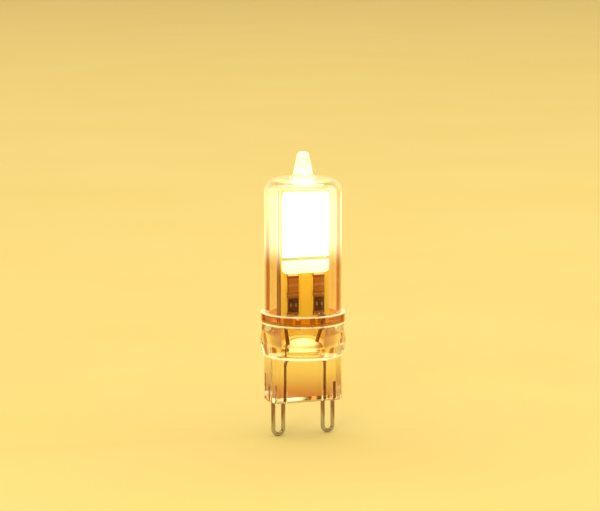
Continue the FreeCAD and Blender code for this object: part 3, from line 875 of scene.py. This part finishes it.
# %% Room
world = bpy.data.worlds.new("studio_room")
scene.world = world
world.use_nodes = True
room = world.node_tree
room.nodes.clear()
direction = add(room, "ShaderNodeTexCoord").outputs["Generated"]
upward = add(room, "ShaderNodeSeparateXYZ", {"Vector": direction}).outputs["Z"]
rise = add(room, "ShaderNodeMapRange", {"Value": upward, "From Min": 0.0, "From Max": 0.7})
plain_light = add(room, "ShaderNodeMix", {
    0: rise.outputs["Result"], 6: linear("8A8782"), 7: linear("DAD8D4")}, data_type="RGBA")
warm_walls = add(room, "ShaderNodeMix", {
    0: rise.outputs["Result"], 6: linear("F3DFAE"), 7: linear("B98A4A")}, data_type="RGBA")
rays = add(room, "ShaderNodeLightPath").outputs
bent = add(room, "ShaderNodeMath", {
    0: rays["Is Glossy Ray"], 1: rays["Is Transmission Ray"]}, operation="MAXIMUM")
seen = add(room, "ShaderNodeMath", {0: rays["Is Camera Ray"], 1: bent.outputs[0]}, operation="MAXIMUM")
tone = add(room, "ShaderNodeMix", {
    0: seen.outputs[0], 6: plain_light.outputs[2], 7: warm_walls.outputs[2]}, data_type="RGBA")
backdrop = add(room, "ShaderNodeBackground", {"Color": tone.outputs[2], "Strength": 1.0})
add(room, "ShaderNodeOutputWorld", {"Surface": backdrop.outputs["Background"]})
print("made", world.name)

# %% [markdown]
# A broad lamp overhead lights the floor evenly, a soft box at the front left lights the boards, and a
# narrow one at the right gives the shoulder and the rims an edge.

# %% Lamps
bulb_middle = Vector((0, 0, 20 * MM))


def soft_box(name, place, width, height, radiance):
    """A rectangular lamp that faces the middle of the bulb, as bright as this radiance."""
    lamp = bpy.data.lights.new(name, "AREA")
    lamp.shape = "RECTANGLE"
    lamp.size = width
    lamp.size_y = height
    lamp.energy = radiance * math.pi * width * height
    holder = bpy.data.objects.new(name, lamp)
    holder.location = place
    aim = bulb_middle - Vector(place)
    holder.rotation_euler = aim.to_track_quat("-Z", "Y").to_euler()
    scene.collection.objects.link(holder)
    return holder


lamps = [
    soft_box("overhead_box", place=(0, 0.2, 1.3), width=1.8, height=1.8, radiance=0.9),
    soft_box("front_box", place=(-0.45, -0.6, 0.35), width=0.22, height=0.32, radiance=8.5),
    soft_box("edge_box", place=(0.6, -0.05, 0.3), width=0.08, height=0.4, radiance=6.0),
]
for lamp in lamps:
    print(lamp.name, "gives", round(lamp.data.energy, 2), "W")

# %% [markdown]
# The camera stands a little to the left of the front and looks slightly down. In the picture one pixel
# covers about 0.17 mm at the bulb, and the bulb's axis is three pixels right of the middle.

# %% Camera
picture_width = 600
pixel = 0.17 * MM
axis_offset = 3 * pixel
view_height = 25.0 * MM
distance = 450 * MM
azimuth = math.radians(-20)
elevation = math.radians(8.5)
flat = math.cos(elevation)
towards_camera = Vector((math.sin(azimuth) * flat, -math.cos(azimuth) * flat, math.sin(elevation)))
to_the_right = Vector((math.cos(azimuth), math.sin(azimuth), 0))
target = Vector((0, 0, view_height)) - to_the_right * axis_offset
lens = bpy.data.cameras.new("bulb_camera")
lens.sensor_width = 36
lens.lens = lens.sensor_width * distance / (picture_width * pixel)
camera = bpy.data.objects.new("bulb_camera", lens)
camera.location = target + towards_camera * distance
camera.rotation_euler = (-towards_camera).to_track_quat("-Z", "Y").to_euler()
scene.collection.objects.link(camera)
scene.camera = camera
scene.view_settings.view_transform = "Standard"
print("lens", round(lens.lens, 1), "mm at", round(distance / MM), "mm")

# %% [markdown]
# Clear things show what stands round them. The wall of the tube throws light sideways, so its edges show
# whatever is to the left and right of the view. The thick plug mirrors the floor close to it, and the front
# of the tube mirrors the room behind the camera. Photographers put darker cloth in such places to draw
# clear things. Here it is amber: two cards behind the bulb, one before it and a ring on the floor. Only
# rays that were bent or mirrored meet the cloth, so it takes no light away, and it gets as pale as the
# floor towards one end, so that it leaves no hard edge.

# %% Amber cloth
def amber_cloth(name, shades, along, full, gone):
    """Woven amber cloth that turns as pale as the floor where the way along it grows from full to gone."""
    material, tree, place = new_material(name)
    weave_step = 2 * MM
    weave = add(tree, "ShaderNodeTexNoise", {"Vector": place, "Scale": 1 / weave_step})
    way = stretched_length(tree, place, along)
    fade = add(tree, "ShaderNodeMapRange", {
        "Value": way, "From Min": full, "From Max": gone}, interpolation_type="SMOOTHSTEP")
    cloth = add(tree, "ShaderNodeMix", {
        0: weave.outputs["Fac"], 6: linear(shades[0]), 7: linear(shades[1])}, data_type="RGBA")
    colour = add(tree, "ShaderNodeMix", {
        0: fade.outputs["Result"], 6: cloth.outputs[2], 7: linear(paper_shades[1])}, data_type="RGBA")
    show(tree, add(tree, "ShaderNodeBsdfPrincipled", {"Base Color": colour.outputs[2], "Roughness": 0.9}))
    return material


def hide_from_camera(piece):
    """Only bent and mirrored rays meet this piece."""
    piece.visible_camera = False
    piece.visible_diffuse = False
    piece.visible_shadow = False


upwards = (0, 0, 1)
amber = ("CE8026", "BE721E")
warm_amber = ("C26E16", "B26210")
deep_amber = ("A0500E", "8C440A")
print("cloth is hidden from the camera and from lamps")

# %% [markdown]
# A card stands upright on the floor at some distance from the bulb and faces it. The two cards behind the
# bulb fade towards the top, because the lines in the tube's wall fade beside the emitter. The tube swaps
# its sides: the left card shows in the right wall, whose line runs further up, so that card is taller. The
# card before the bulb is only mirrored, and isn't seen through the glass.

# %% Cards
def card(name, turn, away, half_width, top, material):
    """An upright card, this far round from the line of sight and this far from the bulb."""
    bearing = azimuth + math.pi + math.radians(turn)
    outward = Vector((math.sin(bearing), -math.cos(bearing), 0))
    along = Vector((-outward.y, outward.x, 0)) * half_width
    foot = outward * away + Vector((0, 0, floor_z))
    head = outward * away + Vector((0, 0, top))
    points = [tuple(point) for point in (foot - along, foot + along, head + along, head - along)]
    piece = stage_piece(name, points, one_face, material)
    hide_from_camera(piece)
    return piece


behind = {"away": 85 * MM, "half_width": 22 * MM}
before = {"away": 65 * MM, "half_width": 90 * MM}
side_turn = 43
half_turn = 180
left_cloth = amber_cloth("amber_cloth_left", amber, upwards, full=22 * MM, gone=60 * MM)
card("left_card", -side_turn, top=62 * MM, material=left_cloth, **behind)
right_cloth = amber_cloth("amber_cloth_right", warm_amber, upwards, full=13 * MM, gone=23 * MM)
card("right_card", side_turn, top=24 * MM, material=right_cloth, **behind)
front_cloth = amber_cloth("amber_cloth_before", deep_amber, upwards, full=16 * MM, gone=34 * MM)
front_card = card("front_card", half_turn, top=36 * MM, material=front_cloth, **before)
front_card.visible_transmission = False
print("cards stand", round(behind["away"] / MM), "mm behind and", round(before["away"] / MM), "mm before")

# %% [markdown]
# The ring is one flat strip round the bulb, a hair above the floor. It is amber near the bulb and fades
# outwards.

# %% Ring on the floor
def floor_ring(name, inner, outer, material):
    """A flat ring round the bulb's axis."""
    steps = 96
    lift = 0.1 * MM
    points = []
    faces = []
    for step in range(steps):
        turn = 2 * math.pi * step / steps
        for radius in (inner, outer):
            points.append((radius * math.sin(turn), radius * math.cos(turn), floor_z + lift))
        here = 2 * step
        ahead = 2 * ((step + 1) % steps)
        faces.append((here, here + 1, ahead + 1, ahead))
    hide_from_camera(stage_piece(name, points, faces, material))


ring_start = 16 * MM
ring_full = 28 * MM
ring_reach = 64 * MM
ring_cloth = amber_cloth("amber_cloth_below", amber, outwards, ring_full, ring_reach)
floor_ring("floor_ring", ring_start, ring_reach, ring_cloth)
print("ring reaches", round(ring_reach / MM), "mm from the axis")
